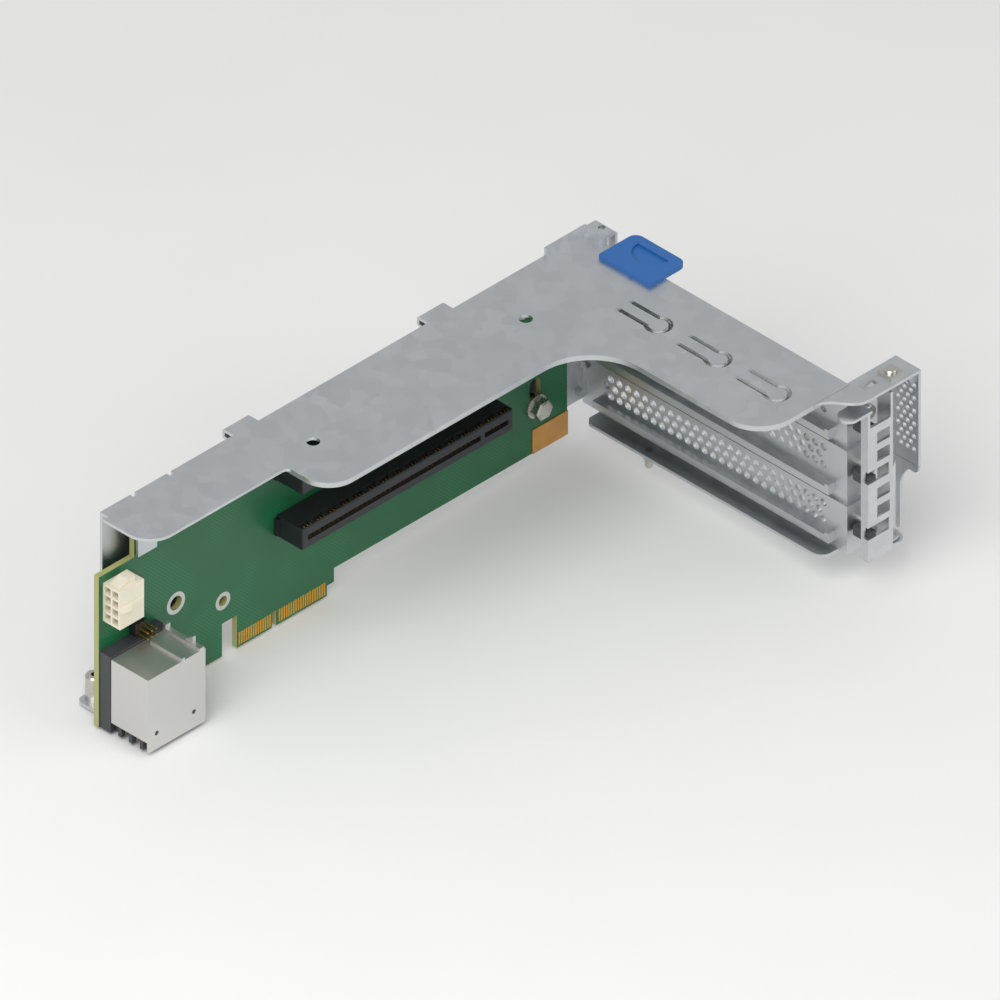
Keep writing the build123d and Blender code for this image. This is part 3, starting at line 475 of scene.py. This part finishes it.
for level in COVER_LEVELS:
    node = f"slot_cover_{level}"
    low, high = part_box(node)
    middle = Vector((high[0] - COVER_SET_BACK * MM, (low[1] + high[1]) / 2,
                     (low[2] + high[2]) / 2 + VENT_RISE * MM))
    vented = grow(f"vented_cover_{level}", vents, {
        "Columns": 26, "Rows": 3, "Pitch": 3.6 * MM, "Radius": 1.3 * MM, "Middle": middle},
        "galvanised_steel", whole_copy(node))
    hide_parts(node)

# %% [markdown]
# The chassis tab is the upright tongue at the far right. Its vents are smaller and stand in a
# tall, narrow field. The same tree makes them, with other numbers.

# %% Vented end bracket
SHEET = 1.0  # how thick the cage's and the covers' steel is
TAB_FIELD = (-SHEET / 2, 4.6, -18.0)  # the field's middle from the tab's top outer corner
bracket_low, bracket_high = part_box("end_bracket")
tab_corner = Vector((bracket_high[0], bracket_low[1], bracket_high[2]))
vented = grow("vented_end_bracket", vents, {
    "Columns": 3, "Rows": 11, "Pitch": 2.7 * MM, "Radius": 0.9 * MM,
    "Middle": tab_corner + Vector(TAB_FIELD) * MM}, "galvanised_steel",
    whole_copy("end_bracket"))
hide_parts("end_bracket")

# %% [markdown]
# Spring contacts, pin tails and header pins are all strips bent from a flat blank. One tree
# makes them: it sweeps a small rectangle along a bent line, as a press feeds a strip through
# its bends, and sets copies in columns and rows on the board's plane. A Bezier line has the
# same soft corners as bent metal.

# %% The strips' tree
BEND_STEPS = 6
strips, sockets = start_tree("bent_strips", {
    "Columns": "Int", "Rows": "Int", "Pitch X": "Float", "Pitch Z": "Float",
    "Width": "Float", "Height": "Float", "Start": "Vector", "Start Handle": "Vector",
    "End Handle": "Vector", "End": "Vector", "Middle": "Vector"})
line = add_node(strips, "GeometryNodeCurvePrimitiveBezierSegment", {
    "Resolution": BEND_STEPS, "Start": sockets["Start"],
    "Start Handle": sockets["Start Handle"], "End Handle": sockets["End Handle"],
    "End": sockets["End"]})
upright = add_node(strips, "GeometryNodeSetCurveNormal", {"Curve": line.outputs["Curve"]})
blank = add_node(strips, "GeometryNodeCurvePrimitiveQuadrilateral", {
    "Width": sockets["Width"], "Height": sockets["Height"]})
strip = add_node(strips, "GeometryNodeCurveToMesh", {
    "Curve": upright.outputs["Curve"], "Profile Curve": blank.outputs["Curve"],
    "Fill Caps": True})
places = add_node(strips, "GeometryNodeMeshGrid", {
    "Vertices X": sockets["Columns"], "Vertices Y": sockets["Rows"],
    "Size X": row_length(strips, sockets["Columns"], sockets["Pitch X"]),
    "Size Y": row_length(strips, sockets["Rows"], sockets["Pitch Z"])})
stood = add_node(strips, "GeometryNodeTransform", {
    "Geometry": places.outputs["Mesh"], "Translation": sockets["Middle"],
    "Rotation": (QUARTER_TURN, 0, 0)})
copies = add_node(strips, "GeometryNodeInstanceOnPoints", {
    "Points": stood.outputs["Geometry"], "Instance": strip.outputs["Mesh"]})
end_tree(strips, copies.outputs[0], sockets["Finish"])


def bend_strips(name, middle, grid, pitch, section, bends, slot, finish=None):
    """A field of strips. The grid is columns and rows, and pitch to bends are in mm."""
    corners = zip(("Start", "Start Handle", "End Handle", "End"), bends)
    return grow(name, strips, {
        "Columns": grid[0], "Rows": grid[1],
        "Pitch X": pitch[0] * MM, "Pitch Z": pitch[1] * MM,
        "Width": section[0] * MM, "Height": section[1] * MM, "Middle": middle,
        **{label: Vector(point) * MM for label, point in corners}}, slot, finish=finish)


# %% [markdown]
# A slot's contacts arch up into the windows along its top edge, which is where the eye sees
# gold in a real slot. Only the tops of the arches show, so each contact is one arch that
# starts and ends inside the housing.

# %% Contacts in the slots' windows
WINDOW_SET_BACK = 1.9  # from the slot's face back to the windows' middle
WINDOW_DROP = 1.2  # from the slot's top down to the contacts' feet
CONTACT_GRID, CONTACT_PITCH, CONTACT_SECTION = (64, 1), (1.39, 0), (0.6, 0.2)
ARCH = ((0, 1.0, 0.1), (0, 0.6, 0.9), (0, -0.6, 0.9), (0, -0.95, 0.1))
for level in ("lower", "upper"):
    low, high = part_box(f"{level}_slot_housing")
    middle = Vector(((low[0] + high[0]) / 2, low[1] + WINDOW_SET_BACK * MM,
                     high[2] - WINDOW_DROP * MM))
    bend_strips(f"{level}_slot_window_contacts", middle, CONTACT_GRID, CONTACT_PITCH,
                CONTACT_SECTION, ARCH, "contact_gold")

# %% [markdown]
# The power header lies on its side, so its pins come out at the back and bend down into the
# board, the outer row over the inner one. Both rows are the same strip with a longer reach.
# They are tinned copper, which solder wets better than nickel.

# %% Tails of the power header
TAIL_PITCH, TAIL_SECTION = 3.25, (0.35, 0.7)
TAIL_ROWS = {"inner": (2.0, 0.9), "outer": (5.2, 1.9)}  # height off the board, reach behind
TAIL_ROOT, TAIL_CORNER, TAIL_SINK = 0.4, 0.6, 0.3  # in the header, at the bend, in the board
board_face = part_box("riser_board")[0][1]
header_low, header_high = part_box("power_header_housing")
pins_low, pins_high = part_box("power_header_pins")
tails_middle = Vector((header_high[0], board_face, (pins_low[2] + pins_high[2]) / 2))
for side, (height, reach) in TAIL_ROWS.items():
    tail = ((-TAIL_ROOT, -height, 0), (reach, -height, 0),
            (reach, TAIL_CORNER - height, 0), (reach, TAIL_SINK, 0))
    bend_strips(f"power_header_{side}_tails", tails_middle, (1, 4), (0, TAIL_PITCH),
                TAIL_SECTION, tail, "plated_steel", finish="tinned_copper")

# %% [markdown]
# A few forms don't repeat, and are one flat outline pushed to a thickness. A list of corners
# and faces makes such a piece without any modelling tool. Each outline is in millimetres from
# a corner of the part that carries the piece, so the piece stays on it.
#
# The first is the power header's latch, which keeps its plug in: a rib along the outer face,
# with a ramp that the plug climbs and a hook that it drops behind. Its outline is seen from
# above, and the points run from the mouth to the back and out from the face.


# %% Latch of the power header
def shape(name, corners, faces, slot):
    """A closed piece from its corners in metres and its faces, in its slot's usual finish."""
    mesh = bpy.data.meshes.new(name)
    mesh.from_pydata(corners, [], faces)
    work = bmesh.new()
    work.from_mesh(mesh)
    bmesh.ops.recalc_face_normals(work, faces=work.faces)
    work.to_mesh(mesh)
    work.free()
    mesh.materials.append(materials[SLOT_FINISH[slot]])
    return fit(set_down(name, mesh))


def cut_out(name, corner, outline, axis, thickness, slot):
    """A flat outline in mm from a corner, across one axis and pushed along it."""
    corners = []
    for depth in (0, thickness):
        for point in outline:
            spot = list(point)
            spot.insert("XYZ".index(axis), depth)
            corners.append(corner + Vector(spot) * MM)
    count = len(outline)
    sides = [(i, (i + 1) % count, (i + 1) % count + count, i + count) for i in range(count)]
    faces = [tuple(reversed(range(count))), tuple(range(count, 2 * count)), *sides]
    return shape(name, corners, faces, slot)


LATCH_DROP, LATCH_WIDTH = 7.2, 2.2
LATCH = [(0.1, 0.1), (0.1, -0.3), (3.7, -1.2), (4.6, -1.2), (4.6, -0.5), (9.6, -0.5), (10.0, 0.1)]
mouth = Vector((header_low[0], header_low[1], header_high[2] - LATCH_DROP * MM))
cut_out("power_header_latch", mouth, LATCH, "Z", -LATCH_WIDTH, "header_natural")

# %% [markdown]
# A small pin header stands between the power header and the big connector. Its body has a
# notch between pins, where a longer strip is snapped to length. The outline is the body seen
# from the front. Its lower edge is built one pin at a time, and the upper edge is the lower
# one turned half round. The pins are straight strips from the same tree as the tails.

# %% Small pin header
PIN_COLUMNS, PIN_ROWS, PIN_PITCH, PIN_RISE, NOTCH = 3, 2, 1.8, 2.2, 0.35
PIN_SECTION, BODY_REACH = (0.5, 0.5), 2.75
PIN_LINE = ((0, 0.2, 0), (0, -2, 0), (0, -5, 0), (0, -7.2, 0))  # from in the board to the tip
SET_IN, LIFT = 12.4, 0.2  # from the big connector's left edge, and above its top
connector_low, connector_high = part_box("board_connector_housing")
foot = Vector((connector_low[0] + SET_IN * MM, board_face, connector_high[2] + LIFT * MM))
wide, tall = PIN_COLUMNS * PIN_PITCH, PIN_ROWS * PIN_RISE
under = []
for column in range(PIN_COLUMNS):
    left, right = column * PIN_PITCH, (column + 1) * PIN_PITCH
    under += [(left + NOTCH, 0), (right - NOTCH, 0), (right, NOTCH)]
over = [(wide - x, tall - z) for x, z in under]
cut_out("board_header_body", foot, under + over, "Y", -BODY_REACH, "slot_black")
bend_strips("board_header_pins", foot + Vector((wide / 2, 0, tall / 2)) * MM,
            (PIN_COLUMNS, PIN_ROWS), (PIN_PITCH, PIN_RISE), PIN_SECTION, PIN_LINE, "contact_gold")

# %% [markdown]
# The chassis tab ends in a rounded lower edge, and a narrow web runs down beside the wall. The
# web leaves the tab in one wide arc that ends upright. That arc is known by its two ends, so
# its radius is worked out from how far it falls and how far it runs. Arcs are drawn as short
# straight steps, as all curves in a mesh are.

# %% Lower edge and web of the chassis tab
ARC_STEPS = 8
TAB_HEIGHT, WALL_FACE = 35.3, 9.75  # down to the solid tab's end, and in to the wall's face
EDGE_DEPTH, EDGE_RADIUS = 2.7, 2.0
WEB_START, WEB_SIDE, WEB_ARC_FOOT = 4.2, 7.9, 11.0  # two in from the tab's edge, and one down
WEB_CORNER = 0.85


def arc(centre, radius, start, end):
    """Points along an arc from one angle to another, in mm and degrees."""
    turn = end - start
    angles = [math.radians(start + turn * step / ARC_STEPS) for step in range(ARC_STEPS + 1)]
    return [(centre[0] + radius * math.cos(angle), centre[1] + radius * math.sin(angle))
            for angle in angles]


edge = tab_corner - Vector((SHEET, 0, TAB_HEIGHT)) * MM
web_foot = (bracket_low[2] - edge[2]) / MM
fall, run = WEB_ARC_FOOT - EDGE_DEPTH, WEB_SIDE - WEB_START
web_radius = (fall ** 2 + run ** 2) / (2 * run)
web_angle = math.degrees(math.asin(fall / web_radius))
print("the web's arc has a radius of", round(web_radius, 1), "mm")
cut_out("chassis_tab_web", edge, [
    (WALL_FACE, 0), (0, 0),
    *arc((EDGE_RADIUS, EDGE_RADIUS - EDGE_DEPTH), EDGE_RADIUS, 180, 270),
    *arc((WEB_SIDE - web_radius, -WEB_ARC_FOOT), web_radius, web_angle, 0),
    (WEB_SIDE, web_foot + WEB_CORNER), (WEB_SIDE + WEB_CORNER, web_foot),
    (WALL_FACE, web_foot)], "X", SHEET, "galvanised_steel")

# %% [markdown]
# Each cover's inner end reaches to the back wall, where two feet hook into it. The hook is as
# thick as the gap between the cover and the wall. Its lower half mirrors the upper one, so
# only five points are given.

# %% Hooks of the slot covers
HOOK_HEIGHT, HOOK_REACH, HOOK_DROP = 13.4, 2.9, 0.2
FOOT_HEIGHT, FOOT_REACH, FOOT_BEVEL, FOOT_SLOPE = 2.2, 4.2, 0.6, 0.5
WALL_GAP = 2.0
upper = [(0, 0), (FOOT_BEVEL - FOOT_REACH, 0), (-FOOT_REACH, -FOOT_BEVEL),
         (-FOOT_REACH, -FOOT_HEIGHT), (-HOOK_REACH, -FOOT_HEIGHT - FOOT_SLOPE)]
lower = [(x, -HOOK_HEIGHT - z) for x, z in reversed(upper)]
for level in COVER_LEVELS:
    low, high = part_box(f"slot_cover_{level}")
    end = Vector((high[0] - (COVER_SET_BACK - SHEET / 2) * MM, high[1],
                  high[2] - HOOK_DROP * MM))
    cut_out(f"slot_cover_{level}_hook", end, upper + lower, "Y", WALL_GAP, "galvanised_steel")

# %% [markdown]
# The locating pin under the floor lip has a longer round nose than its seat needs, so that it
# finds its hole easily. It is turned: its profile is an arc that starts upright at the pin's
# foot and ends just short of the axis, which leaves a tiny flat where the pole would be.

# %% Nose of the locating pin
LATHE_STEPS = 24
NOSE_LENGTH, NOSE_RADIUS, NOSE_OVERLAP, NOSE_END = 2.7, 1.25, 0.3, -85


def lathe(name, centre, profile, slot):
    """A profile of radius and height in mm, turned round an upright axis."""
    angles = [2 * math.pi * step / LATHE_STEPS for step in range(LATHE_STEPS)]
    corners = [centre + Vector((radius * math.cos(angle), radius * math.sin(angle), height)) * MM
               for radius, height in profile for angle in angles]
    rings = [[ring * LATHE_STEPS + step for step in range(LATHE_STEPS)]
             for ring in range(len(profile))]
    bands = [(ring[step - 1], ring[step], below[step], below[step - 1])
             for ring, below in zip(rings, rings[1:]) for step in range(LATHE_STEPS)]
    return shape(name, corners, [*bands, tuple(reversed(rings[0])), tuple(rings[-1])], slot)


pin_low, pin_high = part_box("locating_pin")
pin_foot = Vector(((pin_low[0] + pin_high[0]) / 2, (pin_low[1] + pin_high[1]) / 2, pin_low[2]))
lathe("locating_pin_nose", pin_foot, [
    (NOSE_RADIUS, NOSE_OVERLAP),
    *arc((0, NOSE_RADIUS - NOSE_LENGTH), NOSE_RADIUS, 0, NOSE_END)], "plated_steel")

# %% [markdown]
# The floor is a wide pale sheet of matt paper, and the room round it is the same tone, so the
# object stands on a plain ground as it does on the drawing's white page. A trace of cloudiness
# keeps the sheet from looking like empty space. It lies just below the object's lowest point.

# %% Ground and room
FLOOR_HALF, FLOOR_GAP = 3000, 0.05
ROOM_LIGHT = 0.62
low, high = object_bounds()
mottled("matt_paper", "EFEFED", 60, colours=("EDEDEB", "F1F1EF"), roughness=0.9)
floor_mesh = bpy.data.meshes.new("floor")
half_side = FLOOR_HALF * MM
floor_mesh.from_pydata([(x * half_side, y * half_side, low[2] - FLOOR_GAP * MM)
                        for x, y in ((-1, -1), (1, -1), (1, 1), (-1, 1))], [], [(0, 1, 2, 3)])
floor_mesh.materials.append(materials["matt_paper"])
floor = set_down("floor", floor_mesh)

world = bpy.context.scene.world or bpy.data.worlds.new("room")
bpy.context.scene.world = world
world.use_nodes = True
room = world.node_tree.nodes["Background"].inputs
room["Color"].default_value = colour("F4F5F6")
room["Strength"].default_value = ROOM_LIGHT

# %% [markdown]
# One large soft light stands high on the camera's left, as in a product studio, and a weaker
# one on the right opens the shadows in the rear panel. Large lights give soft shadow edges,
# and metal needs something broad to reflect.


# %% Lights
def soft_light(name, toward, distance, size, power):
    """A square light that looks at the object. Its distance and size are in metres."""
    lamp = bpy.data.lights.new(name, "AREA")
    lamp.size, lamp.energy = size, power
    direction = Vector(toward).normalized()
    stand = set_down(name, lamp)
    stand.location = (low + high) / 2 + direction * distance
    stand.rotation_euler = direction.to_track_quat("Z", "Y").to_euler()
    print(name, "stands at", [round(v, 2) for v in stand.location])


soft_light("key_light", toward=(-0.9, -0.35, 1.1), distance=1.2, size=0.9, power=9.0)
soft_light("fill_light", toward=(0.5, -1.0, 0.5), distance=1.4, size=1.0, power=3.5)

# %% [markdown]
# The drawing is isometric: the camera looks down one corner of a cube, at 35.26 degrees, and
# nothing gets smaller with distance. It looks along the cube's diagonal, and its sideways
# axis is the diagonal of the cube's upper face, so both are written down and no angle has to
# be worked out. The width of the view and its middle are set so that the object fills the
# picture as it does on the page.

# %% Camera
VIEW_WIDTH, VIEW_MIDDLE = 299.4, Vector((61.4, -32.0, 29.5))
CAMERA_DISTANCE, CAMERA_SIGHT = 800, 5000
camera_data = bpy.data.cameras.new("camera")
camera_data.type = "ORTHO"
camera_data.ortho_scale = VIEW_WIDTH * MM
camera_data.clip_end = CAMERA_SIGHT * MM
camera = set_down("camera", camera_data)
right, up = Vector((1, -1, 0)).normalized(), Vector((1, 1, 2)).normalized()
back = right.cross(up)
stand_point = (VIEW_MIDDLE + back * CAMERA_DISTANCE) * MM
facing_way = Matrix((right, up, back)).transposed().to_4x4()
camera.matrix_world = Matrix.Translation(stand_point) @ facing_way
bpy.context.scene.camera = camera
bpy.context.scene.view_settings.view_transform = "Standard"
print("the camera looks down at", round(math.degrees(math.asin(back.z)), 2), "degrees")
